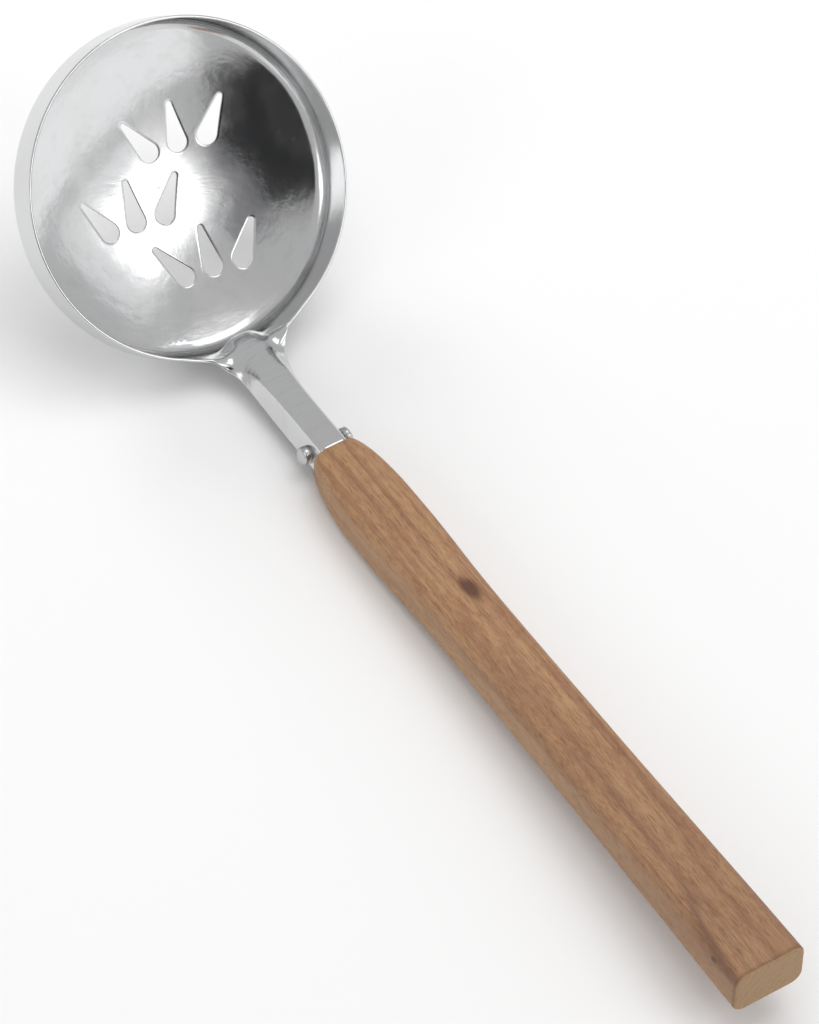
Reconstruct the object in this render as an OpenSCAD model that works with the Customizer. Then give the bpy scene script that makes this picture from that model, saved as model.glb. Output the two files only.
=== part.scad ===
// Slotted round scoop: one stamped steel head with a channel shank, a wooden
// handle whose tenon fills the end of the channel, and one cross rivet.
//
// Axes of the finished part: +X from the bowl to the butt of the handle,
// +Y across the bowl, +Z up. The scoop lies on its back on Z = 0, touching at
// the bend of the bowl and at the underside of the handle, and the origin is
// below the middle of the whole length.

/* [Bowl] */
// Outside diameter of the bowl at the rim, in millimetres
bowl_d = 102.6; // [90:0.2:125]
// Sheet thickness of the head
sheet_t = 0.9; // [0.7:0.1:1.4]
// Height of the straight wall below the rim
wall_h = 11; // [8:0.5:16]
// Outside radius of the bend between wall and floor
bend_r = 5.5; // [4.5:0.5:9]
// Radius of the dished floor
floor_r = 135; // [110:5:300]

/* [Slots] */
// Overall length of one teardrop slot, measured along the floor
slot_len = 15.6; // [12:0.2:18]
// Width of the slot at its round end
slot_w = 5.9; // [4.8:0.1:6.6]
// Width of the slot at its pointed end
slot_tip_w = 1.3; // [0.8:0.1:2]
// Angle between neighbouring slots of one fan
fan_angle = 32; // [26:1:36]
// Distance between neighbouring slots of one fan
fan_pitch = 12.1; // [11.5:0.1:13]
// Turn of the whole slot pattern away from the handle's line
pattern_turn = -6; // [-8:1:8]

/* [Shank] */
// Angle at which shank and handle rise from the plane of the rim
handle_rise = 47.8; // [40:0.2:55]
// Width of the shank across the bottom of the channel
shank_w = 14; // [12.5:0.5:16]
// Width across the crown, measured at the sharp corners
crown_w = 11.2; // [9.5:0.1:12]
// Depth of the channel
shank_depth = 7.5; // [6.5:0.5:9]
// Radius of the folds along the crown
crown_fold_r = 2.2; // [1.6:0.1:2.6]
// Half width of the neck where its free edge leaves the rim
neck_half_w = 13.5; // [12:0.5:15]
// Distance of the wood's front face from the neck point
shank_len = 53; // [46:1:70]

/* [Handle] */
// Distance of the handle's butt face from the neck point
butt_at = 276; // [240:1:320]
// Width of the handle at the butt
butt_w = 23.6; // [20:0.2:27]
// Width of the handle at the waist
waist_w = 19.8; // [18:0.2:23]
// Width of the handle at the swell behind its front end
swell_w = 21.6; // [19:0.2:25]
// Thickness of the handle
handle_t = 16; // [14:0.2:19]
// Rounding of the handle's four long edges
edge_r = 3.8; // [2:0.2:5]
// Length of the tenon inside the channel
tenon_len = 15; // [12:1:20]

/* [Rivet] */
// Diameter of the rivet's body
rivet_d = 3.1; // [2.6:0.1:3.6]
// Diameter of the rivet's heads
rivet_head_d = 5.6; // [4.8:0.1:6.2]
// Height added below the rivet's rounded heads
rivet_collar = 1.0; // [0.4:0.1:1.4]
// Distance of the rivet from the wood's front face
rivet_back = 5; // [4:0.5:8]

/* [Hidden] */
$fn = 96;

ro = bowl_d / 2;
ri = ro - sheet_t;
// centre of the bend circle and of the floor sphere, in the bowl's frame
bend_x = ro - bend_r;
bend_z = -wall_h;
floor_zc = bend_z + sqrt(pow(floor_r - bend_r, 2) - bend_x * bend_x);
floor_a = asin(bend_x / (floor_r - bend_r));
// the neck point: origin of the handle's own frame, in the bowl's frame
neck_x = ro - 0.3;
neck_z = -9.7;
crown_up = 7;
side_a = atan((shank_w - crown_w) / 2 / shank_depth);
nose_at = 0.3;
rivet_at = shank_len - rivet_back;
rivet_up = 1.6;
clear = 0.12;
// free edge of the neck: distance from the neck point, half width, height
neck_edge = [[4.6, neck_half_w + 1.1, 8.6], [6, neck_half_w, 7.5], [7.3, neck_half_w - 1.3, 6.2],
             [8.7, neck_half_w - 2.9, 5], [12, shank_w / 2 + 1.6, 3.6], [17, shank_w / 2 + 0.6, 2.2],
             [21, shank_w / 2 + 0.1, 1.5], [25, shank_w / 2 - 0.3, 0.9]];

// lie of the whole part on the flat surface
function h_of(x, z) = (x - neck_x) * cos(handle_rise) + (z - neck_z) * sin(handle_rise);
function up_of(x, z) = -(x - neck_x) * sin(handle_rise) + (z - neck_z) * cos(handle_rise);
rest_h = shank_len + 27;
lie_dx = rest_h - h_of(bend_x, bend_z);
lie_dz = -handle_t / 2 - up_of(bend_x, bend_z);
lie = -(atan2(lie_dz, lie_dx) + asin(bend_r / sqrt(lie_dx * lie_dx + lie_dz * lie_dz)));
turn = handle_rise - lie;
low_z = -bend_x * sin(turn) + bend_z * cos(turn) - bend_r;
left_x = -bend_x * cos(turn) + bend_z * sin(turn) - bend_r;
butt_x = neck_x * cos(turn) + neck_z * sin(turn) + butt_at * cos(lie)
    + (handle_t / 2 - edge_r) * -sin(lie);
mid_x = (left_x + butt_x) / 2;

// from the bowl's frame (rim plane at Z = 0, +X to the neck) to the part's
module lay() { translate([-mid_x, 0, -low_z]) rotate([0, turn, 0]) children(); }
// from the handle's frame (+X along the handle) to the part's
module on_handle() { lay() translate([neck_x, 0, neck_z]) rotate([0, -handle_rise, 0]) children(); }
// a section drawn with x across and y up, extruded along the handle
module along(a, b) { translate([a, 0, 0]) rotate([90, 0, 90]) linear_extrude(height = b - a) children(); }

// ---------- bowl ----------
function arc(cx, cy, r, a0, a1, n) = [for (i = [0:n]) let (a = a0 + (a1 - a0) * i / n) [cx + r * cos(a), cy + r * sin(a)]];
// half section of the bowl, filled, set in from the outside by i
function bowl_half(i, top) = concat(
    [[0, top], [ro - i, top]],
    arc(bend_x, bend_z, bend_r - i, 0, floor_a - 90, 12),
    [for (k = [1:16]) let (a = floor_a * (1 - k / 16) - 90) [k == 16 ? 0 : (floor_r - i) * cos(a), floor_zc + (floor_r - i) * sin(a)]]);
module bowl_solid() { rotate_extrude($fn = 180) polygon(bowl_half(0, 0)); }
module bowl_cavity() { rotate_extrude($fn = 180) polygon(bowl_half(sheet_t, 3)); }
module bowl_shell() { difference() { bowl_solid(); bowl_cavity(); } }

// one teardrop, round end at -X, point at +X
module teardrop() {
    rw = slot_w / 2;
    rt = slot_tip_w / 2;
    xa = -slot_len / 2 + rw;
    xb = slot_len / 2 - rt;
    a = asin((rw - rt) / (xb - xa));
    polygon(concat(arc(xa, 0, rw, 90 - a, 270 + a, 14), arc(xb, 0, rt, a - 90, 90 - a, 6)));
}
// a fan of three, points spreading away from the neck
module fan() {
    for (k = [-1, 0, 1])
        translate([abs(k) * -1.2, k * fan_pitch]) rotate(k * fan_angle) teardrop();
}
module slot_cutters() {
    for (p = [[-15.1, 11.1], [1.8, -10.2], [23.2, 6.6]])
        translate([p[0], p[1], floor_zc - floor_r - 4])
            linear_extrude(height = 16) rotate(180 + pattern_turn) fan();
}

// ---------- shank ----------
// sheet channel, open below; i = 0 gives the outside, i = sheet_t the inside
function half_channel(i, deep) =
    let (rc = crown_fold_r,
         cx = crown_w / 2 - rc * (1 - sin(side_a)) / cos(side_a),
         cy = crown_up - rc,
         f = arc(cx, cy, rc - i, side_a, 90, 8),
         by = crown_up - shank_depth - deep)
    concat([[f[0][0] + (f[0][1] - by) * tan(side_a), by]], f);
module channel_section(i, deep) {
    h = half_channel(i, deep);
    n = len(h);
    polygon(concat(h, [for (k = [n - 1:-1:0]) [-h[k][0], h[k][1]]]));
}
// seen along "up": a round nose at the bowl's end, straight from there on
module nose_plan(i) {
    r = shank_w / 2 - 0.7;
    along_up() union() {
        translate([nose_at + r, 0]) circle(r = r - i, $fn = 96);
        translate([nose_at + r, -20]) square([shank_len, 40]);
    }
}
module along_up() { translate([0, 0, -6]) linear_extrude(height = 30) children(); }
module channel_outside() {
    difference() {
        intersection() {
            along(nose_at - 1, shank_len) channel_section(0, 0);
            nose_plan(0);
        }
        // the free edge falls from the rim to the full depth of the channel
        rotate([90, 0, 0]) translate([0, 0, -20]) linear_extrude(height = 40)
            polygon(concat([for (e = neck_edge) if (e[0] > 7) [e[0], e[2]]],
                [[35, crown_up - shank_depth], [35, -12], [8.8, -12]]));
    }
}
module channel_inside() {
    intersection() {
        along(nose_at - 1, shank_len + 1) channel_section(sheet_t, 2);
        nose_plan(sheet_t);
    }
}
// neck: the sheet folds from a flat lip on the rim into the channel.
// half section from the crown's middle to the free edge, as [across, up, slope]
function half_neck(e) =
    let (yc = min(crown_w / 2, 0.55 * e[1]), top = crown_up - 0.03,
         phi = atan2(top - e[2], e[1] - yc),
         len = norm([e[1] - yc, top - e[2]]), k = min(2, 0.4 * len),
         dir = [cos(phi), -sin(phi)])
    concat([[0, top, 0], [yc - k, top, 0]],
        [for (t = [0.25, 0.5, 0.75])
            let (p = [yc - k, top] * pow(1 - t, 2) + [yc, top] * 2 * t * (1 - t) + ([yc, top] + dir * k) * t * t)
            [p[0], p[1], phi * t]],
        [for (q = [k / len, 0.65, 1]) [yc + dir[0] * len * q, top + dir[1] * len * q, phi]]);
function neck_ring(e) =
    let (h = half_neck(e), n = len(h),
         out = concat([for (i = [n - 1:-1:1]) [-h[i][0], h[i][1], -h[i][2]]], h))
    concat([for (p = out) [e[0], p[0], p[1]]],
        [for (i = [len(out) - 1:-1:0]) let (p = out[i]) [e[0], p[0] - sheet_t * sin(p[2]), p[1] - sheet_t * cos(p[2])]]);
module neck() {
    rings = [for (e = neck_edge) neck_ring(e)];
    n = len(rings[0]);
    m = len(rings);
    polyhedron(points = [for (r = rings) each r], faces = concat(
        [for (k = [0:n / 2 - 2]) each [[k, n - 2 - k, k + 1], [k, n - 1 - k, n - 2 - k]]],
        [for (i = [0:m - 2]) for (k = [0:n - 1])
            let (a = i * n + k, b = i * n + (k + 1) % n) each [[a, b + n, a + n], [a, b, b + n]]],
        [for (k = [0:n / 2 - 2]) let (o = (m - 1) * n) each [[o + k, o + k + 1, o + n - 2 - k], [o + k, o + n - 2 - k, o + n - 1 - k]]]),
        convexity = 6);
}
module rivet_axis(r, w) {
    translate([rivet_at, 0, rivet_up]) rotate([90, 0, 0]) cylinder(r = r, h = w, center = true, $fn = 48);
}

module scoop_head() {
    color([0.78, 0.79, 0.80]) {
        difference() {
            union() {
                lay() bowl_shell();
                on_handle() channel_outside();
                difference() {
                    on_handle() neck();
                    lay() translate([0, 0, -30]) cylinder(r = ri + 0.2, h = 60, $fn = 180);
                }
            }
            on_handle() channel_inside();
            lay() slot_cutters();
            on_handle() rivet_axis(rivet_d / 2 + 0.05, 30);
        }
    }
}

// ---------- handle ----------
function sm(t) = t <= 0 ? 0 : t >= 1 ? 1 : t * t * (3 - 2 * t);
function mix(a, b, t) = a + (b - a) * t;
// width and thickness of the wood at distance h from the neck point
function wood_w(h) =
    let (a = h - shank_len, n = butt_at - shank_len)
    a < 24 ? mix(14.6, swell_w, pow(sin(90 * min(1, a / 24)), 0.8))
    : a < 44 ? swell_w
    : a < 74 ? mix(swell_w, waist_w, sm((a - 44) / 30))
    : mix(waist_w, butt_w, pow((a - 74) / (n - 74), 1.35));
function wood_t(h) =
    let (a = h - shank_len)
    a < 27 ? mix(11.4, handle_t, sin(90 * a / 27)) : handle_t;
// rise of the section's centre near the front, so that the top runs on from the crown
function wood_up(h) = let (a = h - shank_len) a < 27 ? mix(1.6, 0, sin(90 * a / 27)) : 0;
stations = concat([for (i = [0:11]) shank_len + 27 * pow(i / 12, 1.5)],
                  [for (i = [0:25]) mix(shank_len + 27, butt_at - 1, i / 25)],
                  [butt_at]);
function ring(h, inset) =
    let (w = wood_w(h) / 2 - inset, t = wood_t(h) / 2 - inset, r = min(edge_r, t - 1), u = wood_up(h))
    [for (q = [0:3]) for (j = [0:5])
        let (a = 90 * q + 18 * j, sx = (q == 0 || q == 3) ? 1 : -1, sy = q < 2 ? 1 : -1)
        [h, sx * (w - r) + r * cos(a), sy * (t - r) + r * sin(a) + u]];
module wood_body() {
    n = 24;
    m = len(stations);
    pts = [for (i = [0:m - 1]) each ring(stations[i], i == m - 1 ? 0.8 : 0)];
    polyhedron(points = pts, faces = concat(
        [[for (k = [0:n - 1]) k]],
        [for (i = [0:m - 2]) for (k = [0:n - 1])
            let (a = i * n + k, b = i * n + (k + 1) % n) [a, a + n, b + n, b]],
        [[for (k = [n - 1:-1:0]) (m - 1) * n + k]]), convexity = 4);
}
module tenon() {
    along(shank_len - tenon_len, shank_len + 2)
        intersection() {
            channel_section(sheet_t + clear, 0);
            translate([-20, -0.4]) square([40, 20]);
        }
}
module wood_handle() {
    color([0.66, 0.50, 0.36]) on_handle() difference() {
        union() {
            wood_body();
            tenon();
        }
        rivet_axis(rivet_d / 2 + 0.05, 30);
    }
}

// ---------- rivet ----------
// domed factory head, profile with y along the rivet's axis
module dome_profile() {
    r = rivet_head_d / 2;
    intersection() {
        translate([0, -r * 0.55]) circle(r = r * 1.14, $fn = 64);
        square([r, 3]);
    }
}
// rolled-over end of the tube, with its open middle
module rolled_profile() {
    r = rivet_head_d / 2;
    union() {
        translate([r * 0.62, 0.35 + rivet_collar]) circle(r = r * 0.37, $fn = 40);
        translate([0, -0.6]) square([r * 0.95, 0.95 + rivet_collar]);
    }
}
module cross_rivet() {
    wall_y = crown_w / 2 + (crown_up - rivet_up) * tan(side_a);
    color([0.70, 0.71, 0.72]) on_handle() {
        union() {
            difference() {
                rivet_axis(rivet_d / 2, 2 * wall_y);
                translate([rivet_at, wall_y + 0.01, rivet_up]) rotate([90, 0, 0])
                    cylinder(r = rivet_d / 2 - 0.7, h = 4.5, $fn = 40);
            }
            difference() {
                translate([rivet_at, -wall_y, rivet_up]) rotate([90, 0, 0])
                    translate([0, 0, -0.45]) union() {
                        rotate_extrude($fn = 64) translate([0, 0.45 + rivet_collar]) dome_profile();
                        cylinder(r = rivet_head_d / 2, h = 0.46 + rivet_collar, $fn = 64);
                    }
                channel_outside();
            }
            difference() {
                translate([rivet_at, wall_y, rivet_up]) rotate([-90, 0, 0])
                    rotate_extrude($fn = 64) difference() {
                        rolled_profile();
                        translate([0, -1]) square([rivet_d / 2 - 0.7, 6]);
                    }
                channel_outside();
            }
        }
    }
}

scoop_head();
wood_handle();
cross_rivet();
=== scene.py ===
# Looks of the slotted hand scoop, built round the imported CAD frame.
# Lengths are worked in millimetres in the bowl's and the handle's own frames
# and written in metres in the CAD frame.
import math
import random

import bpy
import numpy as np
from mathutils import Matrix, Vector, geometry


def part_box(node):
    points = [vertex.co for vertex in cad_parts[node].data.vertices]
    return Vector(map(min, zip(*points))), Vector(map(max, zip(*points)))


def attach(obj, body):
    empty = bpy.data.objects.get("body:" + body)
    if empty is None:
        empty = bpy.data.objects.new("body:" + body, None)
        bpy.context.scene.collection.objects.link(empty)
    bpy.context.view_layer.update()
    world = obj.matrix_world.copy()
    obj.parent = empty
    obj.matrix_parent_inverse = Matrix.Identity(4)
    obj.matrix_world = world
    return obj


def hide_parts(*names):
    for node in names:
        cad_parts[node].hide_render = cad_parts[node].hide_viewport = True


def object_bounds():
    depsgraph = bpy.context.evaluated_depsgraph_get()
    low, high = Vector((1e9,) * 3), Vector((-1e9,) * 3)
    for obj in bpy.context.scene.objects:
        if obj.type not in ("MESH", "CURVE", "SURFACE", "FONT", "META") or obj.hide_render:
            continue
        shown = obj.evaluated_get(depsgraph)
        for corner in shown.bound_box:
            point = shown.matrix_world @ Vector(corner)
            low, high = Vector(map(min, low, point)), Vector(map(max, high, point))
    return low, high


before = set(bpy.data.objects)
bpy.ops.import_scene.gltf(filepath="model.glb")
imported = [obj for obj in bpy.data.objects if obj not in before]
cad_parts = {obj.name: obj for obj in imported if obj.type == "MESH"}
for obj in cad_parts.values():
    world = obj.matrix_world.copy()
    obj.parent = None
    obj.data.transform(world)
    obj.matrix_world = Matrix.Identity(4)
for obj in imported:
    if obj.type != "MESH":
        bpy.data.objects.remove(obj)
START_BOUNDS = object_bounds()
random.seed(7)
rng = np.random.default_rng(7)
MM = 0.001

# ------------------------------------------------------------------ frames
BOWL_D, SHEET, WALL_H, BEND_R, FLOOR_R = 102.6, 0.9, 11.0, 5.5, 135.0
RO = BOWL_D / 2
RI = RO - SHEET
BEND_X, BEND_Z = RO - BEND_R, -WALL_H
FLOOR_ZC = BEND_Z + math.sqrt((FLOOR_R - BEND_R) ** 2 - BEND_X ** 2)
FLOOR_A = math.asin(BEND_X / (FLOOR_R - BEND_R))
NECK_X, NECK_Z = RO - 0.3, -9.7
RISE = math.radians(47.8)
SHANK_LEN, BUTT_AT, HANDLE_T, EDGE_R = 53.0, 276.0, 16.0, 3.8


def h_of(x, z):
    return (x - NECK_X) * math.cos(RISE) + (z - NECK_Z) * math.sin(RISE)


def up_of(x, z):
    return -(x - NECK_X) * math.sin(RISE) + (z - NECK_Z) * math.cos(RISE)


_dx = SHANK_LEN + 27 - h_of(BEND_X, BEND_Z)
_dz = -HANDLE_T / 2 - up_of(BEND_X, BEND_Z)
LIE = -(math.atan2(_dz, _dx) + math.asin(BEND_R / math.hypot(_dx, _dz)))
TURN = RISE - LIE
# where the rim's centre is: from the frame's own box, not from a constant
_lo, _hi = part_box("scoop_head")
_left = -BEND_X * math.cos(TURN) + BEND_Z * math.sin(TURN) - BEND_R
_low = -BEND_X * math.sin(TURN) + BEND_Z * math.cos(TURN) - BEND_R
RIM_O = np.array([_lo[0] / MM - _left, 0.0, _lo[2] / MM - _low])
CT, ST = math.cos(TURN), math.sin(TURN)
B2O_M = np.array([[CT, 0, ST], [0, 1, 0], [-ST, 0, CT]])
CR, SR = math.cos(RISE), math.sin(RISE)
H2B_M = np.array([[CR, 0, -SR], [0, 1, 0], [SR, 0, CR]])


def b2o(p):
    """bowl frame, mm -> CAD frame, metres"""
    return (np.asarray(p, float) @ B2O_M.T + RIM_O) * MM


def h2b(p):
    return np.asarray(p, float) @ H2B_M.T + np.array([NECK_X, 0, NECK_Z])


def h2o(p):
    return b2o(h2b(p))


# ------------------------------------------------------------------ camera
def direction(v):
    return B2O_M @ np.array(v)


def look(name):
    cam = bpy.data.cameras.new(name)
    obj = bpy.data.objects.new(name, cam)
    bpy.context.scene.collection.objects.link(obj)
    right = direction((0.34975, 0.83558, 0.42365))
    up = direction((-0.91114, 0.40859, -0.05368))
    back = direction((-0.21795, -0.36723, 0.90424))
    m = Matrix.Identity(4)
    for i, v in enumerate((right, up, back)):
        for j in range(3):
            m[j][i] = v[j]
    loc = b2o((-325.79, -719.27, 1841.18))
    for j in range(3):
        m[j][3] = loc[j]
    obj.matrix_world = m
    cam.sensor_fit = "AUTO"
    cam.sensor_width = 36.0
    cam.lens = 237.39
    cam.clip_start = 0.05
    cam.clip_end = 60
    bpy.context.scene.camera = obj
    return obj


camera = look("camera")
CAM_M = camera.matrix_world.copy()

# ------------------------------------------------------------------ mesh help
def smooth01(t):
    t = np.clip(t, 0.0, 1.0)
    return t * t * (3 - 2 * t)


def pchip(xs, ys, x):
    """monotone cubic through the points"""
    xs, ys, x = (np.asarray(a, float) for a in (xs, ys, x))
    h = np.diff(xs)
    d = np.diff(ys) / h
    m = np.zeros(len(xs))
    m[0], m[-1] = d[0], d[-1]
    for i in range(1, len(xs) - 1):
        if d[i - 1] * d[i] > 0:
            w1, w2 = 2 * h[i] + h[i - 1], h[i] + 2 * h[i - 1]
            m[i] = (w1 + w2) / (w1 / d[i - 1] + w2 / d[i])
    k = np.clip(np.searchsorted(xs, x) - 1, 0, len(xs) - 2)
    t = (x - xs[k]) / h[k]
    return (ys[k] * (1 + 2 * t) * (1 - t) ** 2 + m[k] * h[k] * t * (1 - t) ** 2
            + ys[k + 1] * t * t * (3 - 2 * t) + m[k + 1] * h[k] * t * t * (t - 1))


def make_object(name, verts_o, faces, attrs=None, smooth=True):
    """verts in the CAD frame, metres; attrs {name: (n, 3) array in mm} for the materials"""
    me = bpy.data.meshes.new(name)
    me.from_pydata([tuple(float(c) for c in v) for v in verts_o], [], [tuple(int(i) for i in f) for f in faces])
    for key, arr in (attrs or {}).items():
        a = me.attributes.new(key, "FLOAT_VECTOR", "POINT")
        a.data.foreach_set("vector", np.asarray(arr, np.float32).ravel())
    me.update()
    me.validate()
    if smooth:
        me.polygons.foreach_set("use_smooth", [True] * len(me.polygons))
    ob = bpy.data.objects.new(name, me)
    bpy.context.scene.collection.objects.link(ob)
    return ob


def vertex_normals(v, faces):
    n = np.zeros_like(v)
    for f in faces:
        p = v[list(f)]
        if len(f) == 3:
            c = np.cross(p[1] - p[0], p[2] - p[0])
        else:
            c = np.cross(p[2] - p[0], p[3] - p[1])
        for i in f:
            n[i] += c
    return n / np.maximum(np.linalg.norm(n, axis=1, keepdims=True), 1e-12)


# ------------------------------------------------------------------ the stamped head
SLOT_LEN, SLOT_W, SLOT_TIP, FAN_A, FAN_P = 15.6, 5.9, 1.3, 32.0, 12.1
PATTERN = math.radians(180 - 6)
FANS = [(-15.1, 11.1), (1.8, -10.2), (23.2, 6.6)]
NECK_Y = 13.5
TOP_R = FLOOR_R - SHEET          # the dish as seen from inside
BEND_I = BEND_R - SHEET
FLOOR_EDGE = BEND_X + BEND_I * math.sin(FLOOR_A)


def floor_z(r):
    return FLOOR_ZC - np.sqrt(TOP_R ** 2 - np.asarray(r) ** 2)


def teardrop(o, n_round=26, n_side=20, n_tip=8):
    """closed outline of one slot grown by o, round end at -x, counter-clockwise"""
    rw, rt = SLOT_W / 2, SLOT_TIP / 2
    xa, xb = -SLOT_LEN / 2 + rw, SLOT_LEN / 2 - rt
    a = math.asin((rw - rt) / (xb - xa))
    rw, rt = rw + o, rt + o
    pts = []
    for i in range(n_round):
        t = math.pi / 2 - a + (math.pi + 2 * a) * i / n_round
        pts.append((xa + rw * math.cos(t), rw * math.sin(t)))
    p = (xa + rw * math.sin(a), -rw * math.cos(a)), (xb + rt * math.sin(a), -rt * math.cos(a))
    for i in range(n_side):
        k = i / n_side
        pts.append((p[0][0] + (p[1][0] - p[0][0]) * k, p[0][1] + (p[1][1] - p[0][1]) * k))
    for i in range(n_tip):
        t = a - math.pi / 2 + (math.pi - 2 * a) * i / n_tip
        pts.append((xb + rt * math.cos(t), rt * math.sin(t)))
    for i in range(n_side):
        k = 1 - i / n_side
        pts.append((p[0][0] + (p[1][0] - p[0][0]) * k, -(p[0][1] + (p[1][1] - p[0][1]) * k)))
    return np.array(pts)


def slot_places():
    out = []
    for fx, fy in FANS:
        for k in (-1, 0, 1):
            a = math.radians(FAN_A) * k
            lx, ly = -1.2 * abs(k), FAN_P * k
            c, s = math.cos(PATTERN), math.sin(PATTERN)
            out.append((fx + lx * c - ly * s, fy + lx * s + ly * c, PATTERN + a))
    return out


def placed(outline, place):
    x, y, a = place
    c, s = math.cos(a), math.sin(a)
    return np.stack([x + outline[:, 0] * c - outline[:, 1] * s, y + outline[:, 0] * s + outline[:, 1] * c], 1)


def columns():
    """angles of the wall's columns, dense where the neck leaves the bowl"""
    ys = np.linspace(-NECK_Y, NECK_Y, 69)
    a = np.arcsin(ys / RI)
    rest = np.linspace(a[-1], 2 * math.pi + a[0], 292)[1:-1]
    return np.concatenate([a, rest]), ys


NECK_TABLE = dict(
    h=[6.03, 7.3, 8.7, 12.0, 17.0, 22.0, 28.0, 35.0, 53.0],
    y=[13.5, 12.2, 10.6, 8.6, 7.7, 7.35, 7.1, 7.0, 7.0],
    u=[7.5, 6.2, 5.0, 3.6, 2.2, 1.2, 0.3, -0.3, -0.5])


def fillet_path(pts, radii, n):
    """points at equal steps along a polyline with rounded corners, in 2D"""
    pts = [np.array(p, float) for p in pts]
    dense = [pts[0]]
    for i in range(1, len(pts) - 1):
        a, b, c = pts[i - 1], pts[i], pts[i + 1]
        u, v = (a - b) / np.linalg.norm(a - b), (c - b) / np.linalg.norm(c - b)
        half = math.acos(float(np.clip(u @ v, -1, 1))) / 2
        e = min(radii[i - 1] / math.tan(half), 0.48 * np.linalg.norm(a - b), 0.48 * np.linalg.norm(c - b))
        p, q = b + u * e, b + v * e
        for k in range(17):
            t = k / 16
            dense.append(p * (1 - t) ** 2 + b * 2 * t * (1 - t) + q * t * t)
    dense.append(pts[-1])
    dense = np.array(dense)
    d = np.concatenate([[0], np.cumsum(np.linalg.norm(np.diff(dense, axis=0), axis=1))])
    s = np.linspace(0, d[-1], n)
    return np.stack([np.interp(s, d, dense[:, k]) for k in range(2)], 1)


def section(edge_y, edge_u, fold_r, n):
    """half section of the shank from the crown's middle to the free edge, as (y, up)"""
    yc = min(5.6, edge_y * 0.62) * (1 - 0.45 * float(smooth01((edge_y - 7.3) / 3.5)))
    phi = math.atan2(7 - edge_u, edge_y - yc)
    r = fold_r * 1.0
    path = fillet_path([(0, 7.0), (yc, 7.0), (edge_y, edge_u)], [r], n)
    path[:, 1] -= 0.10 * (path[:, 0] / 5.0) ** 2 * (path[:, 0] < 5.0) + 0.10 * (path[:, 0] >= 5.0)
    path[:, 1] += 0.0
    return path


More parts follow.
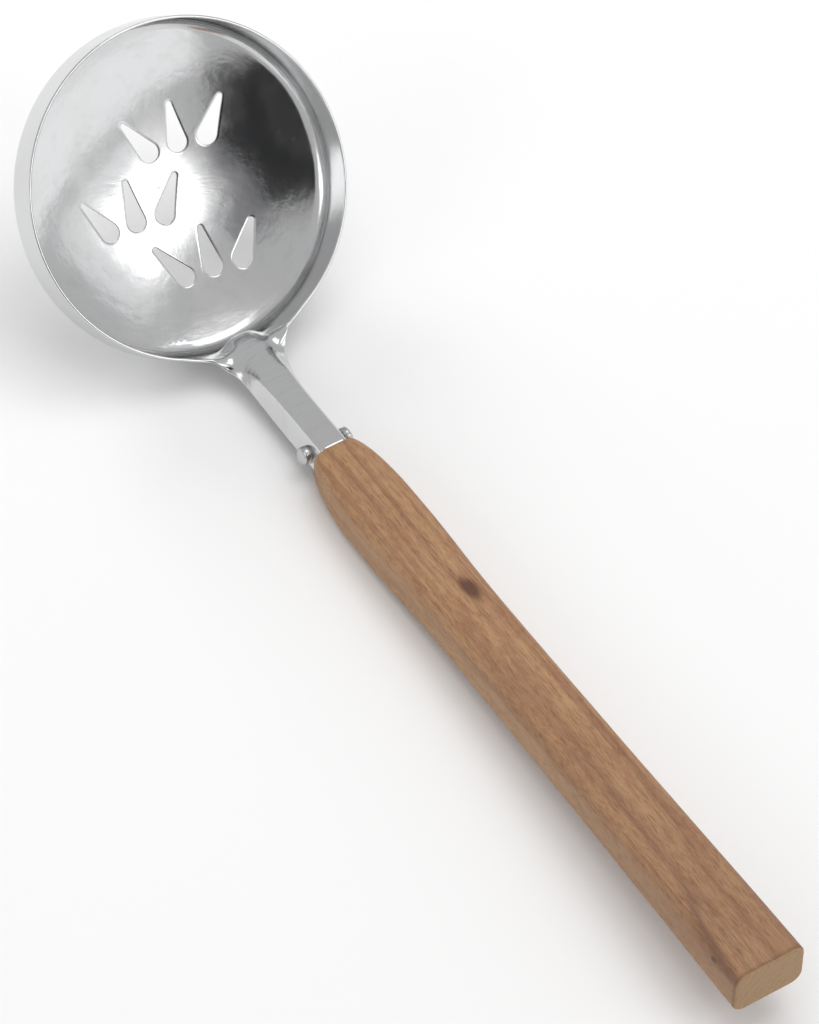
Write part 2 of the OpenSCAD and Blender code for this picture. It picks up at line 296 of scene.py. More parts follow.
def build_head():
    th, ys = columns()
    n = len(th)
    nn = len(ys)
    V, F = [], []

    def add(p):
        V.append(np.asarray(p, float))
        return len(V) - 1

    # ---- floor
    edge = [add((FLOOR_EDGE * math.cos(a), FLOOR_EDGE * math.sin(a), floor_z(FLOOR_EDGE))) for a in th]
    ring_off = [0.16, 0.26, 0.55, 1.0]
    roll = [0.11, 0.06, 0.0, 0.0]
    places = slot_places()
    holes, outer_rings = [], []
    for pl in places:
        rings = []
        for o, dz in zip(ring_off, roll):
            xy = placed(teardrop(o), pl)
            rings.append([add((x, y, float(floor_z(math.hypot(x, y))) - dz)) for x, y in xy])
        m = len(rings[0])
        for a, b in zip(rings, rings[1:]):
            for i in range(m):
                j = (i + 1) % m
                F.append((a[i], b[i], b[j], a[j]))
        holes.append(rings[0])
        outer_rings.append(rings[-1])
    # free points: graded rings near the edge, then a hexagonal field
    free = []
    for k, (gap, step) in enumerate(((0.45, 1), (1.05, 2), (1.9, 4))):
        r = FLOOR_EDGE - gap
        idx = [i for i in range(n) if (i % step == 0 if i < nn else k == 0 or i % 2 == k % 2)]
        free += [(r * math.cos(th[i]), r * math.sin(th[i])) for i in idx]
    grid = 1.35
    rmax = FLOOR_EDGE - 2.9
    hexes = []
    for j in range(-50, 51):
        for i in range(-50, 51):
            x, y = (i + 0.5 * (j % 2)) * grid, j * grid * math.sqrt(3) / 2
            if math.hypot(x, y) < rmax:
                hexes.append((x, y))
    hexes = np.array(hexes)
    keep = np.ones(len(hexes), bool)
    rw, rt = SLOT_W / 2, SLOT_TIP / 2
    xa, xb = -SLOT_LEN / 2 + rw, SLOT_LEN / 2 - rt

    def slot_distance(p, pl):
        """signed distance from a slot's outline, outside positive"""
        x, y, a = pl
        c, s = math.cos(a), math.sin(a)
        q = np.stack([(p[:, 0] - x) * c + (p[:, 1] - y) * s, -(p[:, 0] - x) * s + (p[:, 1] - y) * c], 1)
        t = (q[:, 0] - xa) / (xb - xa)
        sn = (rw - rt) / (xb - xa)
        t = np.clip(t + np.abs(q[:, 1]) / (xb - xa) * sn / math.sqrt(1 - sn * sn), 0, 1)
        return np.hypot(q[:, 0] - (xa + (xb - xa) * t), q[:, 1]) - (rw + (rt - rw) * t)

    for pl in places:
        keep &= slot_distance(hexes, pl) > ring_off[-1] + 0.55
    free += [tuple(p) for p in hexes[keep]]
    base = list(edge)
    loops = [list(range(n))]
    for ring in outer_rings:
        loops.append(list(range(len(base), len(base) + len(ring))))
        base += ring
    co = [Vector((V[i][0], V[i][1])) for i in base] + [Vector(p) for p in free]
    cons = [(lp[i], lp[(i + 1) % len(lp)]) for lp in loops for i in range(len(lp))]
    out = geometry.delaunay_2d_cdt(co, cons, [], 0, 1e-5, True)
    vs, _, tris, ov, _, _ = out
    loop_of = [q for q, lp in enumerate(loops) for _ in lp]
    ids, owner = [], []
    for k, p in enumerate(vs):
        src = ov[k][0] if ov[k] else -1
        if 0 <= src < len(base):
            ids.append(base[src])
            owner.append(loop_of[src])
        else:
            owner.append(-1)
            ids.append(add((p[0], p[1], float(floor_z(math.hypot(p[0], p[1]))))))
    cent = np.array([np.mean([[vs[i][0], vs[i][1]] for i in t], axis=0) for t in tris])
    ok = np.hypot(cent[:, 0], cent[:, 1]) < FLOOR_EDGE + 1e-6
    # a slot's outline is convex, so a triangle with all its corners on one lies in the hole
    for q, t in enumerate(tris):
        if owner[t[0]] > 0 and owner[t[0]] == owner[t[1]] == owner[t[2]]:
            ok[q] = False
    for t, good in zip(tris, ok):
        if good:
            a, b, c = (ids[i] for i in t)
            u, v = V[b] - V[a], V[c] - V[a]
            F.append((a, b, c) if u[0] * v[1] - u[1] * v[0] > 0 else (a, c, b))

    # ---- bend and wall
    last = edge
    bend_rows = []
    for k in range(1, 13):
        a = FLOOR_A + (math.pi / 2 - FLOOR_A) * k / 12
        r, z = BEND_X + BEND_I * math.sin(a), BEND_Z - BEND_I * math.cos(a)
        row = [add((r * math.cos(t), r * math.sin(t), z)) for t in th]
        for i in range(n):
            j = (i + 1) % n
            F.append((last[i], row[i], row[j], last[j]))
        last = row
        bend_rows.append(row)
    J = 34
    top_z = -0.20
    tau = 1 - (1 - np.linspace(0, 1, J + 1)) ** 1.15
    wall_rows = []
    # crown profile, from the wall up the nose and along the crown to the rim
    crown = fillet_path([(RI, BEND_Z), (RI, -9.4), (46.1, -5.0), (50.25, -0.10)], [3.2, 2.2], 400)

    def along_path(path, t):
        k = t * (len(path) - 1)
        i = min(int(k), len(path) - 2)
        return path[i] * (1 - (k - i)) + path[i + 1] * (k - i)

    def flare(a, z):
        a = abs((a + math.pi) % (2 * math.pi) - math.pi)
        k = float(smooth01((math.radians(25) - a) / math.radians(25 - 15.5)))
        return 0.75 * k * float(smooth01((z + 9) / 9.0))

    for j in range(1, J + 1):
        row = []
        for i, t in enumerate(th):
            z = BEND_Z + (top_z - BEND_Z) * tau[j]
            if i >= nn:
                r = RI + flare(t, z)
                row.append(add((r * math.cos(t), r * math.sin(t), z)))
                continue
            y = ys[i]
            # plain flared wall
            r = RI + flare(t, z)
            wx = math.sqrt(r * r - y * y)
            wall = np.array([wx, z])
            # shoulder: the wall leaning out to the rim line of the neck
            xw = math.sqrt(RI * RI - y * y)
            p0, p1 = np.array([xw, -9.0]), np.array([50.25, -0.10])
            d0, d1 = np.array([0, 1.0]) * 9, np.array([CR, SR]) * 9
            z0 = BEND_Z + 3.0
            tt = tau[j]
            if tt < 0.25:
                sh = np.array([xw, BEND_Z + 3.0 * tt / 0.25])
            else:
                s = (tt - 0.25) / 0.75
                sh = (p0 * (1 + 2 * s) * (1 - s) ** 2 + d0 * s * (1 - s) ** 2
                      + p1 * s * s * (3 - 2 * s) + d1 * s * s * (s - 1))
            k = float(smooth01((NECK_Y - abs(y)) / 5.0))
            p = wall * (1 - k) + sh * k
            # rib
            cr = along_path(crown, tau[j])
            w = float(smooth01((7.6 - abs(y)) / 4.6))
            p = p * (1 - w) + cr * w
            # valley on either side of the rib, deepest near the rim
            dip = 1.15 * math.exp(-((abs(y) - 7.4) / 2.3) ** 2) * float(smooth01((tau[j] - 0.35) / 0.5)) * float(smooth01((NECK_Y - abs(y)) / 3.5))
            p = p + np.array([SR, -CR]) * dip
            row.append(add((p[0], y, p[1])))
        for i in range(n):
            k = (i + 1) % n
            F.append((last[i], row[i], row[k], last[k]))
        last = row
        wall_rows.append(row)
    rim_row = last

    # ---- shank
    rows_u = np.concatenate([np.linspace(0, 0.18, 22)[1:], np.linspace(0.18, 1, 58)[1:]])
    prev = rim_row[:nn]
    half = (nn - 1) // 2
    first = [np.array(V[i]) for i in prev]
    shank_rows = []
    end_h = SHANK_LEN - 0.05
    for u in rows_u:
        hc = 6.75 + (end_h - 6.75) * u
        he = 6.03 + (end_h - 6.03) * u
        ey = float(pchip(NECK_TABLE["h"], NECK_TABLE["y"], he))
        eu = float(pchip(NECK_TABLE["h"], NECK_TABLE["u"], he))
        fr = 2.2 + 8 * float(smooth01((21 - hc) / 13))
        sec = section(ey, eu, fr, half + 1)
        row = []
        for i in range(nn):
            k = abs(i - half)
            sg = 1 if i >= half else -1
            s = (k / half) ** 2
            q = abs(sec[k, 0])
            dip = 1.2 * math.exp(-((q - 7.2) / 2.3) ** 2) * float(smooth01((17.5 - hc) / 9)) * float(smooth01((ey - q) / 3.0))
            p = h2b((hc + (he - hc) * s, sg * sec[k, 0], sec[k, 1] - dip))
            # ease out of the rim line
            e = float(smooth01(u / 0.10))
            if e < 1:
                hb = 6.75 + (6.03 - 6.75) * s
                start = first[i] + (h2b((hc + (he - hc) * s, 0, 0)) - h2b((hb, 0, 0)))
                p = start * (1 - e) + p * e
            row.append(add(p))
        for i in range(nn - 1):
            F.append((prev[i], row[i], row[i + 1], prev[i + 1]))
        prev = row
        shank_rows.append(row)

    V = np.array(V)
    # ---- relax the neck so that its folds are soft
    nb = [set() for _ in V]
    for f in F:
        for a, b in zip(f, f[1:] + f[:1]):
            nb[a].add(b)
            nb[b].add(a)
    soft = {}

    def near_neck(i, wide=27.0, tight=15.0):
        a = abs(math.degrees((th[i] + math.pi) % (2 * math.pi) - math.pi))
        return float(smooth01((wide - a) / (wide - tight)))

    def inside(i):
        return float(smooth01(min(i, nn - 1 - i) / 9.0))

    for row in bend_rows:
        for i in range(n):
            if near_neck(i) > 0:
                soft[row[i]] = near_neck(i)
    for i in range(n):
        if near_neck(i) > 0:
            soft[edge[i]] = near_neck(i)
    for j, row in enumerate(wall_rows[:-1]):
        for i in range(n):
            w = near_neck(i)
            if w > 0:
                # the last rows keep the rim's line outside the neck
                lip = float(smooth01((J - j) / 14))
                soft[row[i]] = w * (max(lip, inside(i)) if i < nn else lip)
    for i in range(2, nn - 2):
        soft[rim_row[i]] = inside(i)
    for k, row in enumerate(shank_rows[:26]):
        for i in range(1, nn - 1):
            soft[row[i]] = (1.0 if k < 18 else (26 - k) / 8) * inside(i)
    keys = np.array(list(soft))
    wts = np.array([soft[k] for k in keys])[:, None] * 0.5
    nbl = [list(nb[k]) for k in keys]
    for _ in range(46):
        mean = np.array([V[b].mean(axis=0) for b in nbl])
        V[keys] += (mean - V[keys]) * wts

    # ---- round the corner where the rim turns into the shank's free edge
    for side in (0, nn - 1):
        beyond = [rim_row[(-k) % n] if side == 0 else rim_row[nn - 1 + k] for k in range(7, -1, -1)]
        line = beyond + [r[side] for r in shank_rows[:24]]
        for _ in range(30):
            q = V[line]
            V[line[1:-1]] = q[1:-1] + 0.5 * ((q[:-2] + q[2:]) / 2 - q[1:-1])

    # ---- thickness: the other side, then the rounded cut edges
    N = vertex_normals(V, F)
    nv = len(V)
    Vb = V - N * SHEET
    Fb = [tuple(i + nv for i in reversed(f)) for f in F]
    allV = [V, Vb]
    count = 2 * nv
    strips = []

    def edge_strip(loop, closed, bulge=0.22, steps=4):
        """a rounded cut edge along a boundary loop whose sheet lies to its left"""
        nonlocal count
        m = len(loop)
        a, b = V[loop], Vb[loop]
        if closed:
            tang = np.roll(a, -1, axis=0) - np.roll(a, 1, axis=0)
        else:
            tang = np.gradient(a, axis=0)
        out = np.cross(tang, N[loop])
        out /= np.maximum(np.linalg.norm(out, axis=1, keepdims=True), 1e-12)
        rings = [list(loop)]
        for k in range(1, steps):
            t = k / steps
            p = a * (1 - t) + b * t + out * bulge * math.sin(math.pi * t)
            allV.append(p)
            rings.append(list(range(count, count + m)))
            count += m
        rings.append([i + nv for i in loop])
        for r0, r1 in zip(rings, rings[1:]):
            for i in range(m if closed else m - 1):
                j = (i + 1) % m
                strips.append((r0[j], r0[i], r1[i], r1[j]))

    # the outline: rim round the bowl, then out along one side of the shank and back
    outline = [rim_row[i] for i in range(nn - 1, n)] + [rim_row[0]]
    down = [r[0] for r in shank_rows]
    back = [r[nn - 1] for r in reversed(shank_rows)]
    end = [shank_rows[-1][i] for i in range(1, nn - 1)]
    loop = outline + down + end + back
    edge_strip(loop, True)
    for ring in holes:
        edge_strip(list(reversed(ring)), True, bulge=0.14)
    allV = np.concatenate(allV)
    return allV, F + Fb + strips


HEAD_V, HEAD_F = build_head()
head = make_object("stamped_head", b2o(HEAD_V), HEAD_F, {"bowl_mm": HEAD_V})
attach(head, "root")
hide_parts("scoop_head")

# ------------------------------------------------------------------ the wooden handle
W_TABLE = dict(
    a=[0, 0.8, 2.2, 5, 9, 15, 22, 34, 46, 60, 74, 100, 150, 180, 205, 222],
    w=[14.4, 15.4, 16.6, 18.2, 19.6, 20.8, 21.45, 21.5, 21.1, 20.2, 19.75, 20.0, 21.2, 22.2, 23.0, 23.5])


def wood_section(h, m, inset=0.0):
    """closed ring of the handle's section at h, m points, as (y, up)"""
    a = h - SHANK_LEN
    w = float(pchip(W_TABLE["a"], W_TABLE["w"], min(a, 222.0))) / 2
    t0 = math.sin(math.radians(90 * min(1, max(a, 0) / 27)))
    t = (11.4 + (HANDLE_T - 11.4) * t0) / 2 - 0.02
    u = 1.6 * (1 - t0)
    w, t = w - inset, t - inset
    r = min(EDGE_R * 0.96, t - 0.6, w - 0.6)
    # arcs and straights, equal steps by arc length
    pts = []
    for q, (sy, su) in enumerate(((1, 1), (-1, 1), (-1, -1), (1, -1))):
        for k in range(13):
            b = math.radians(90 * q + 90 * k / 12)
            pts.append((sy * (w - r) + r * math.cos(b), su * (t - r) + r * math.sin(b)))
    pts.append(pts[0])
    pts = np.array(pts)
    d = np.concatenate([[0], np.cumsum(np.hypot(*np.diff(pts, axis=0).T))])
    s = np.linspace(0, d[-1], m + 1)[:-1]
    ring = np.stack([np.interp(s, d, pts[:, 0]), np.interp(s, d, pts[:, 1]) + u], 1)
    return ring


def build_wood():
    m = 96
    L0, L1 = SHANK_LEN + 0.02, BUTT_AT - 0.02
    hs, ins = [], []
    # front arris, body, butt arris
    for k in range(4):
        b = math.radians(90 * k / 4)
        hs.append(L0 + 0.45 * (1 - math.cos(b)))
        ins.append(0.45 * (1 - math.sin(b)))
    body = np.concatenate([L0 + 0.45 + np.linspace(0, 1, 26) ** 1.6 * 27, np.linspace(L0 + 28.5, L1 - 1.1, 120)])
    hs += list(body)
    ins += [0.0] * len(body)
    for k in range(1, 6):
        b = math.radians(90 * k / 5)
        hs.append(L1 - 1.0 + 1.0 * math.sin(b))
        ins.append(1.0 * (1 - math.cos(b)))
    V, F = [], []
    for h, i in zip(hs, ins):
        for y, u in wood_section(h, m, i):
            # hand-sanded: very low waves, always inward
            k = 0.07 * (1 + math.sin(h * 0.11 + y * 0.2) * math.cos(h * 0.043 + u * 0.3)) / 2
            n = math.hypot(y, u) or 1
            V.append((h, y * (1 - k / n), u * (1 - k / n)))
    R = len(hs)
    for i in range(R - 1):
        for k in range(m):
            j = (k + 1) % m
            F.append((i * m + k, i * m + j, (i + 1) * m + j, (i + 1) * m + k))
    # flat ends, filled by shrinking rings so that the grain has points to stand on
    for side, base, h in ((-1, 0, hs[0]), (1, (R - 1) * m, hs[-1])):
        prev = list(range(base, base + m))
        ring0 = np.array([V[i] for i in prev])
        c = ring0.mean(axis=0)
        for s in (0.93, 0.75, 0.5, 0.25):
            cur = list(range(len(V), len(V) + m))
            for p in ring0:
                V.append(tuple(c + (p - c) * s))
            for k in range(m):
                j = (k + 1) % m
                f = (prev[k], prev[j], cur[j], cur[k])
                F.append(f if side > 0 else f[::-1])
            prev = cur
        V.append(tuple(c))
        o = len(V) - 1
        for k in range(m):
            j = (k + 1) % m
            F.append((prev[k], prev[j], o) if side > 0 else (prev[j], prev[k], o))
    return np.array(V), F


WOOD_V, WOOD_F = build_wood()
wood_ob = make_object("wooden_handle", h2o(WOOD_V), WOOD_F, {"wood_mm": WOOD_V})
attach(wood_ob, "root")
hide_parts("wood_handle")

# ------------------------------------------------------------------ the cross rivet
CROWN_W, SHANK_W, SHANK_D, CROWN_UP, RIVET_UP = 11.2, 14.0, 7.5, 7.0, 1.6
SIDE_TAN = (SHANK_W - CROWN_W) / 2 / SHANK_D
SIDE_A = math.atan(SIDE_TAN)
RIVET_H = SHANK_LEN - 5.0
COLLAR = 1.0
WALL_Y = CROWN_W / 2 + (CROWN_UP - RIVET_UP) * SIDE_TAN


def lathe(profile, m=56):
    """profile [(r, y)] turned about the y axis through the rivet, first and last on the axis"""
    V, F = [], []
    rings = []
    for r, y in profile:
        if r < 1e-6:
            V.append((0, y, 0))
            rings.append([len(V) - 1])
        else:
            ids = []
            for k in range(m):
                a = 2 * math.pi * k / m
                V.append((r * math.cos(a), y, r * math.sin(a)))
                ids.append(len(V) - 1)
            rings.append(ids)
    for a, b in zip(rings, rings[1:]):
        for k in range(m):
            j = (k + 1) % m
            if len(a) == 1:
                F.append((a[0], b[j], b[k]))
            elif len(b) == 1:
                F.append((a[k], a[j], b[0]))
            else:
                F.append((a[k], a[j], b[j], b[k]))
    return np.array(V), F


def build_rivet():
    rb = 1.53
    hr = 2.72
    prof = []
    # -Y end: a low dome; its rim follows the channel's sloping side closely enough
    yb = -(WALL_Y + 0.02)
    prof.append((0.0, yb - 1.34 - COLLAR))
    for k in range(1, 12):
        a = math.radians(90 * k / 11)
        prof.append((hr * math.sin(a), yb - 0.36 - COLLAR - 0.98 * math.cos(a)))
    prof += [(hr, yb - 0.05), (hr - 0.06, yb + 0.30), (rb, yb + 0.34), (rb, -WALL_Y + 1.2), (rb, WALL_Y - 1.2), (rb, WALL_Y - 0.3)]
    # +Y end: the tube's end rolled outward, open in the middle
    yt = WALL_Y + 0.02
    prof += [(hr - 0.10, yt - 0.28), (hr, yt + 0.05)]
    for k in range(0, 13):
        a = math.radians(-20 + 200 * k / 12)
        cr, ro_ = 0.86, 1.80
        prof.append((ro_ + cr * math.cos(a), yt + 0.28 + COLLAR + 0.86 * math.sin(a)))
    prof += [(0.88, yt - 0.2), (0.86, yt - 3.2), (0.5, yt - 3.5), (0.0, yt - 3.55)]
    V, F = lathe(prof)
    # lean the heads onto the sloping sides
    for v in V:
        side = 1 if v[1] > 0 else -1
        k = min(1.0, max(0.0, (abs(v[1]) - WALL_Y + 0.6) / 0.6))
        v[1] += -side * v[2] * SIDE_TAN * k
    V = V + np.array([RIVET_H, 0, RIVET_UP])
    return V, [f[::-1] for f in F]


RIVET_V, RIVET_F = build_rivet()
rivet_ob = make_object("tubular_rivet", h2o(RIVET_V), RIVET_F, {"bowl_mm": h2b(RIVET_V)})
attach(rivet_ob, "root")
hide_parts("cross_rivet")

# ------------------------------------------------------------------ materials
class Net:
    """short hand for building a node tree"""

    def __init__(self, name):
        self.mat = bpy.data.materials.new(name)
        self.mat.use_nodes = True
        self.t = self.mat.node_tree
        self.bsdf = self.t.nodes["Principled BSDF"]
        self.out = self.t.nodes["Material Output"]

    def node(self, kind, **kw):
        n = self.t.nodes.new(kind)
        for k, v in kw.items():
            setattr(n, k, v)
        return n

    def link(self, a, b):
        self.t.links.new(a, b)

    def set(self, sock, v):
        if hasattr(v, "node"):
            self.link(v, sock)
        else:
            sock.default_value = v

    def attr(self, name):
        return self.node("ShaderNodeAttribute", attribute_name=name).outputs["Vector"]

    def xyz(self, v):
        s = self.node("ShaderNodeSeparateXYZ")
        self.set(s.inputs[0], v)
        return s.outputs

    def vec(self, x=0.0, y=0.0, z=0.0):
        c = self.node("ShaderNodeCombineXYZ")
        for s, v in zip(c.inputs, (x, y, z)):
            self.set(s, v)
        return c.outputs[0]

    def math(self, op, a, b=0.0, c=0.0, clamp=False):
        m = self.node("ShaderNodeMath", operation=op, use_clamp=clamp)
        for s, v in zip(m.inputs, (a, b, c)):
            self.set(s, v)
        return m.outputs[0]

    def scale(self, v, s):
        m = self.node("ShaderNodeVectorMath", operation="MULTIPLY")
        self.set(m.inputs[0], v)
        m.inputs[1].default_value = s
        return m.outputs[0]

    def noise(self, v, scale=1.0, detail=2.0, rough=0.5, distort=0.0):
        n = self.node("ShaderNodeTexNoise")
        self.set(n.inputs["Vector"], v)
        n.inputs["Scale"].default_value = scale
        n.inputs["Detail"].default_value = detail
        n.inputs["Roughness"].default_value = rough
        n.inputs["Distortion"].default_value = distort
        return n.outputs[0]

    def voronoi(self, v, scale=1.0, feature="F1"):
        n = self.node("ShaderNodeTexVoronoi", feature=feature)
        self.set(n.inputs["Vector"], v)
        n.inputs["Scale"].default_value = scale
        return n.outputs["Distance"]

    def ramp(self, f, lo, hi, a=0.0, b=1.0):
        m = self.node("ShaderNodeMapRange", interpolation_type="SMOOTHSTEP")
        self.set(m.inputs["Value"], f)
        m.inputs["From Min"].default_value = lo
        m.inputs["From Max"].default_value = hi
        m.inputs["To Min"].default_value = a
        m.inputs["To Max"].default_value = b
        return m.outputs["Result"]

    def mix(self, f, a, b):
        m = self.node("ShaderNodeMix", data_type="RGBA")
        self.set(m.inputs["Factor"], f)
        self.set(m.inputs[6], (*a, 1) if isinstance(a, tuple) else a)
        self.set(m.inputs[7], (*b, 1) if isinstance(b, tuple) else b)
        return m.outputs[2]

    def bump(self, h, strength, dist, normal=None):
        b = self.node("ShaderNodeBump")
        b.inputs["Strength"].default_value = strength
        b.inputs["Distance"].default_value = dist
        self.set(b.inputs["Height"], h)
        if normal is not None:
            self.link(normal, b.inputs["Normal"])
        return b.outputs[0]


def steel_material(name, base, rough, worn=1.0):
    n = Net(name)
    p = n.attr("bowl_mm")
    x, y, z = n.xyz(p)
    ang = n.math("ARCTAN2", y, x)
    rad = n.math("POWER", n.math("ADD", n.math("MULTIPLY", x, x), n.math("MULTIPLY", y, y)), 0.5)
    # fan of faint spokes left by pressing and polishing
    spoke = n.noise(n.vec(n.math("MULTIPLY", ang, 7.0), n.math("MULTIPLY", rad, 0.02), z), 1.0, 3.0, 0.55)
    fine = n.noise(n.vec(n.math("MULTIPLY", ang, 46.0), n.math("MULTIPLY", rad, 0.05), z), 1.0, 2.0, 0.5)
    # polishing lines along one direction, crossed by a few at another angle
    hair = n.noise(n.scale(p, (0.35, 9.0, 0.35)), 1.0, 3.0, 0.6)
    rot = n.node("ShaderNodeVectorRotate", rotation_type="Z_AXIS")
    n.set(rot.inputs["Vector"], p)
    rot.inputs["Angle"].default_value = 0.85
    hair2 = n.noise(n.scale(rot.outputs[0], (0.12, 6.0, 0.12)), 1.0, 4.0, 0.65)
    scratch = n.ramp(hair2, 0.63, 0.74)
    # blotches: finger marks, dried water, dullness from use
    blot = n.noise(p, 0.045, 4.0, 0.55, 0.6)
    speck = n.noise(p, 0.55, 4.0, 0.7)
    spots = n.ramp(speck, 0.60, 0.72)
    r = n.math("ADD", rough, n.math("MULTIPLY", n.ramp(blot, 0.38, 0.68), 0.07 * worn))
    r = n.math("ADD", r, n.math("MULTIPLY", n.math("SUBTRACT", hair, 0.5), 0.07 * worn))
    r = n.math("ADD", r, n.math("MULTIPLY", scratch, 0.10 * worn))
    r = n.math("ADD", r, n.math("MULTIPLY", spots, 0.05 * worn), clamp=True)
    n.link(r, n.bsdf.inputs["Roughness"])
    dull = tuple(c * 0.86 for c in base)
    warm = (base[0] * 0.93, base[1] * 0.915, base[2] * 0.885)
    col = n.mix(n.math("MULTIPLY", n.ramp(blot, 0.42, 0.75), 0.55 * worn), base, warm)
    col = n.mix(n.math("MULTIPLY", n.ramp(spoke, 0.50, 0.72), 0.35 * worn), col, dull)
    col = n.mix(n.math("MULTIPLY", spots, 0.25 * worn), col, dull)
    n.link(col, n.bsdf.inputs["Base Color"])
    n.bsdf.inputs["Metallic"].default_value = 1.0
    # slow waves of the sheet, spokes, hair lines
    wave = n.noise(p, 0.07, 2.0, 0.5)
    b = n.bump(wave, 0.35, 0.00030)
    b = n.bump(spoke, 0.22, 0.00022, b)
    b = n.bump(fine, 0.10, 0.00005, b)
    b = n.bump(hair, 0.12, 0.00002, b)
    b = n.bump(scratch, 0.10, 0.00001, b)
    n.link(b, n.bsdf.inputs["Normal"])
    return n.mat


def wood_material(name):
    n = Net(name)
    p = n.attr("wood_mm")
    h, y, u = n.xyz(p)
    # slow bend of the grain, shared by everything
    warp = n.noise(n.scale(p, (0.012, 0.10, 0.10)), 1.0, 2.0, 0.5)
    warp2 = n.noise(n.scale(p, (0.03, 0.35, 0.35)), 1.0, 3.0, 0.55)
    # growth rings about a far, slightly tilted pith
    py = n.math("ADD", n.math("SUBTRACT", y, 34.0), n.math("MULTIPLY", h, 0.035))
    pu = n.math("ADD", n.math("ADD", u, 21.0), n.math("MULTIPLY", h, -0.02))
    rad = n.math("POWER", n.math("ADD", n.math("MULTIPLY", py, py), n.math("MULTIPLY", pu, pu)), 0.5)
    # the knot pushes the rings aside
    kx = n.math("DIVIDE", n.math("SUBTRACT", h, 120.1), 7.0)
    ky = n.math("DIVIDE", n.math("SUBTRACT", y, 3.2), 3.2)
    ku = n.math("DIVIDE", n.math("SUBTRACT", u, 8.0), 5.0)
    kd = n.math("POWER", n.math("ADD", n.math("ADD", n.math("MULTIPLY", kx, kx), n.math("MULTIPLY", ky, ky)), n.math("MULTIPLY", ku, ku)), 0.5)
    push = n.math("MULTIPLY", n.math("EXPONENT", n.math("MULTIPLY", kd, -1.0)), 2.2)
    rad = n.math("ADD", rad, n.math("MULTIPLY", warp, 7.0))
    rad = n.math("ADD", rad, n.math("MULTIPLY", warp2, 1.6))
    rad = n.math("ADD", rad, push)
    ring = n.math("SINE", n.math("MULTIPLY", rad, 1.05))
    ring = n.ramp(ring, 0.25, 1.0)
    ring_b = n.ramp(n.math("SINE", n.math("MULTIPLY", rad, 2.9)), 0.1, 1.0)
    # fibre, pores, broad colour clouds
    fibre = n.noise(n.scale(p, (0.15, 2.6, 2.6)), 1.0, 5.0, 0.68)
    fibre2 = n.noise(n.scale(p, (0.06, 0.8, 0.8)), 1.0, 4.0, 0.6, 0.4)
    pore = n.noise(n.scale(p, (0.26, 4.6, 4.6)), 1.0, 2.0, 0.5)
    pores = n.ramp(pore, 0.57, 0.64)
    mottle = n.noise(n.scale(p, (0.22, 0.55, 0.55)), 1.0, 5.0, 0.62, 0.3)
    cloud = n.noise(n.scale(p, (0.03, 0.12, 0.12)), 1.0, 3.0, 0.5)
    streak = n.ramp(n.noise(n.scale(p, (0.010, 0.42, 0.42)), 1.0, 2.0, 0.5), 0.52, 0.66)

    light = (0.450, 0.262, 0.138)
    mid = (0.385, 0.208, 0.104)
    dark = (0.215, 0.100, 0.058)
    red = (0.370, 0.165, 0.100)
    tan = (0.470, 0.290, 0.165)
    c = n.mix(n.ramp(cloud, 0.30, 0.70), mid, light)
    c = n.mix(n.math("MULTIPLY", n.ramp(fibre2, 0.45, 0.72), 0.55), c, red)
    c = n.mix(n.ramp(mottle, 0.42, 0.62, 0.0, 0.38), c, (0.480, 0.300, 0.158))
    c = n.mix(n.ramp(mottle, 0.50, 0.34, 0.0, 0.20), c, (0.230, 0.108, 0.062))
    c = n.mix(n.math("MULTIPLY", ring, 0.30), c, dark)
    c = n.mix(n.math("MULTIPLY", ring_b, 0.12), c, dark)
    c = n.mix(n.math("MULTIPLY", n.ramp(fibre, 0.52, 0.78), 0.34), c, dark)
    c = n.mix(n.math("MULTIPLY", streak, 0.38), c, dark)
    # painted light: the lower -Y side face made lighter with tan, as if lit from that side
    lower_side_painted_light = n.math("MULTIPLY", n.ramp(n.math("MULTIPLY", y, -1.0), 7.5, 10.0), n.ramp(n.math("MULTIPLY", u, -1.0), -6.0, 0.0))
    c = n.mix(n.math("MULTIPLY", lower_side_painted_light, 0.55), c, tan)
    # dark streak on the -Y shoulder towards the butt
    s1 = n.math("ABSOLUTE", n.math("SUBTRACT", y, n.math("SUBTRACT", n.math("MULTIPLY", h, -0.19), -39.7)))
    s1 = n.math("ADD", s1, n.math("MULTIPLY", n.math("SUBTRACT", warp2, 0.5), 3.0))
    s1 = n.math("MULTIPLY", n.ramp(s1, 2.6, 0.2), n.ramp(h, 232.0, 252.0))
    s1 = n.math("MULTIPLY", s1, n.ramp(u, 1.0, 6.0))
    c = n.mix(n.math("MULTIPLY", s1, 0.62), c, (0.150, 0.072, 0.052))
    # long soft shadow of heartwood along the middle third
    m1 = n.math("ABSOLUTE", n.math("ADD", n.math("ADD", y, 4.0), n.math("MULTIPLY", n.math("SUBTRACT", warp, 0.5), 14.0)))
    m1 = n.math("MULTIPLY", n.ramp(m1, 3.4, 0.0), n.math("MULTIPLY", n.ramp(h, 118.0, 150.0), n.ramp(h, 250.0, 215.0)))
    c = n.mix(n.math("MULTIPLY", m1, 0.34), c, (0.20, 0.095, 0.06))
    # handling dirt along the +Y arris
    e1 = n.math("MULTIPLY", n.ramp(n.math("ADD", y, n.math("MULTIPLY", u, 0.5)), 11.5, 14.5), 0.35)
    c = n.mix(e1, c, (0.17, 0.09, 0.06))
    # darker with handling towards the butt
    c = n.mix(n.ramp(h, 130.0, 270.0, 0.0, 0.26), c, (0.175, 0.095, 0.062))
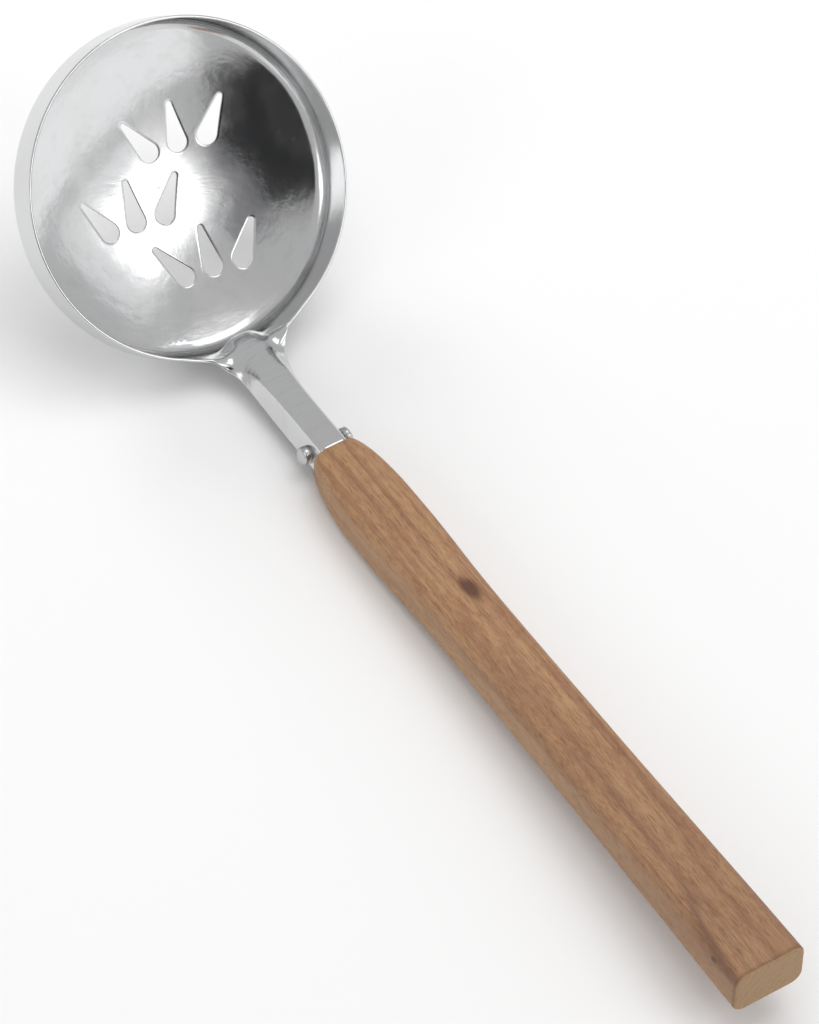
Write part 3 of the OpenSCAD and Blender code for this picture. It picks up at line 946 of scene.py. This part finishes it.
    # end grain: paler, with short rings and dots
    endf = n.math("MAXIMUM", n.ramp(h, BUTT_AT - 0.9, BUTT_AT - 0.25), n.ramp(h, SHANK_LEN + 0.30, SHANK_LEN + 0.05))
    dots = n.ramp(n.voronoi(n.scale(p, (0.2, 2.6, 2.6)), 1.0), 0.30, 0.12)
    eg = n.mix(n.math("MULTIPLY", ring_b, 0.25), (0.430, 0.275, 0.145), (0.300, 0.175, 0.090))
    eg = n.mix(n.math("MULTIPLY", dots, 0.30), eg, (0.240, 0.130, 0.070))
    c = n.mix(endf, c, eg)
    # worn, darker arris round the butt
    ar = n.math("MULTIPLY", n.ramp(h, BUTT_AT - 2.2, BUTT_AT - 0.8), n.ramp(h, BUTT_AT - 0.3, BUTT_AT - 0.8))
    c = n.mix(n.math("MULTIPLY", ar, 0.45), c, (0.16, 0.08, 0.05))
    # knot and small pin knot
    core = n.ramp(n.math("ADD", kd, n.math("MULTIPLY", n.math("SUBTRACT", fibre, 0.5), 0.9)), 0.95, 0.35)
    c = n.mix(n.math("MULTIPLY", core, 0.92), c, (0.060, 0.026, 0.018))
    halo = n.ramp(kd, 1.6, 0.5)
    c = n.mix(n.math("MULTIPLY", halo, 0.30), c, (0.22, 0.105, 0.06))
    qx = n.math("DIVIDE", n.math("SUBTRACT", h, 264.6), 1.5)
    qy = n.math("DIVIDE", n.math("ADD", y, 11.3), 1.3)
    qu = n.math("DIVIDE", n.math("SUBTRACT", u, 4.6), 1.1)
    qd = n.math("POWER", n.math("ADD", n.math("ADD", n.math("MULTIPLY", qx, qx), n.math("MULTIPLY", qy, qy)), n.math("MULTIPLY", qu, qu)), 0.5)
    c = n.mix(n.math("MULTIPLY", n.ramp(qd, 1.25, 0.4), 0.8), c, (0.11, 0.05, 0.03))
    c = n.mix(n.math("MULTIPLY", pores, 0.44), c, (0.17, 0.070, 0.038))
    n.link(c, n.bsdf.inputs["Base Color"])
    r = n.math("ADD", 0.50, n.math("MULTIPLY", n.math("SUBTRACT", fibre, 0.5), 0.25))
    r = n.math("ADD", r, n.math("MULTIPLY", pores, 0.15), clamp=True)
    n.link(r, n.bsdf.inputs["Roughness"])
    n.bsdf.inputs["Specular IOR Level"].default_value = 0.32
    b = n.bump(pores, 0.5, -0.00012)
    b = n.bump(fibre, 0.35, 0.00010, b)
    b = n.bump(cloud, 0.25, 0.00040, b)
    n.link(b, n.bsdf.inputs["Normal"])
    return n.mat


steel = steel_material("polished_sheet_steel", (0.70, 0.705, 0.712), 0.135)
rivet_steel = steel_material("rivet_steel", (0.58, 0.58, 0.585), 0.20, 1.3)
wood_mat = wood_material("oiled_hardwood")
head.data.materials.append(steel)
rivet_ob.data.materials.append(rivet_steel)
wood_ob.data.materials.append(wood_mat)
for nm, mt in (("scoop_head", steel), ("wood_handle", wood_mat), ("cross_rivet", rivet_steel)):
    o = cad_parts[nm]
    o.data.materials.clear()
    o.data.materials.append(mt)

# ------------------------------------------------------------------ floor and light
def plain(name, col, rough):
    m = bpy.data.materials.new(name)
    m.use_nodes = True
    b = m.node_tree.nodes["Principled BSDF"]
    b.inputs["Base Color"].default_value = (*col, 1)
    b.inputs["Roughness"].default_value = rough
    b.inputs["Specular IOR Level"].default_value = 0.2
    return m


def quad(name, wid, hei, mat):
    me = bpy.data.meshes.new(name)
    me.from_pydata([(-wid / 2, -hei / 2, 0), (wid / 2, -hei / 2, 0), (wid / 2, hei / 2, 0), (-wid / 2, hei / 2, 0)], [], [(0, 1, 2, 3)])
    me.materials.append(mat)
    o = bpy.data.objects.new(name, me)
    bpy.context.scene.collection.objects.link(o)
    return o


floor = quad("floor", 6, 6, plain("pale_floor", (0.93, 0.93, 0.93), 0.7))
floor.location.z = START_BOUNDS[0][2] - 0.0002
BOWL_C = Vector(b2o((0, 0, -18)))


def aim(o, az, el, dist, centre=BOWL_C):
    a, e = math.radians(az), math.radians(el)
    d = Vector((math.cos(e) * math.cos(a), math.cos(e) * math.sin(a), math.sin(e)))
    o.location = centre + d * dist
    o.rotation_euler = (-d).to_track_quat("-Z", "Y").to_euler()
    return o


def soft_light(name, az, el, dist, wid, hei, power, col=(1, 1, 1), glossy=True):
    light = bpy.data.lights.new(name, "AREA")
    light.shape = "RECTANGLE"
    light.size, light.size_y, light.energy, light.color = wid, hei, power, col
    o = bpy.data.objects.new(name, light)
    bpy.context.scene.collection.objects.link(o)
    o.visible_glossy = glossy
    return aim(o, az, el, dist)


def card(name, az, el, dist, wid, hei, grey):
    return aim(quad(name, wid, hei, plain(name, (grey, grey, grey * 1.04), 0.9)), az, el, dist)

world = bpy.data.worlds.new("studio")
bpy.context.scene.world = world
world.use_nodes = True
world.node_tree.nodes["Background"].inputs[0].default_value = (1.0, 1.0, 1.0, 1)
world.node_tree.nodes["Background"].inputs[1].default_value = 0.56
bpy.context.scene.view_settings.view_transform = "Standard"
soft_light("key", 31, 36, 2.0, 0.88, 0.62, 3.1)
soft_light("key_halo", 35, 34, 2.1, 1.50, 1.10, 1.9)
soft_light("low", 36, 6, 2.4, 3.2, 0.75, 4.0)
soft_light("side", -86, 31, 2.0, 1.1, 0.7, 3.0)
soft_light("top", 95, 66, 1.8, 1.05, 0.78, 3.6)
soft_light("overhead", 120, 80, 1.9, 1.6, 1.6, 10, glossy=False)
soft_light("behind", 185, 28, 1.8, 1.0, 0.8, 10, glossy=False)
card("dark_card", -14.5, 33.5, 3.0, 1.62, 2.08, 0.03)
card("grey_card", 4.0, 43, 3.05, 0.62, 1.50, 0.30)

# ------------------------------------------------------------------ update the view layer
bpy.context.view_layer.update()
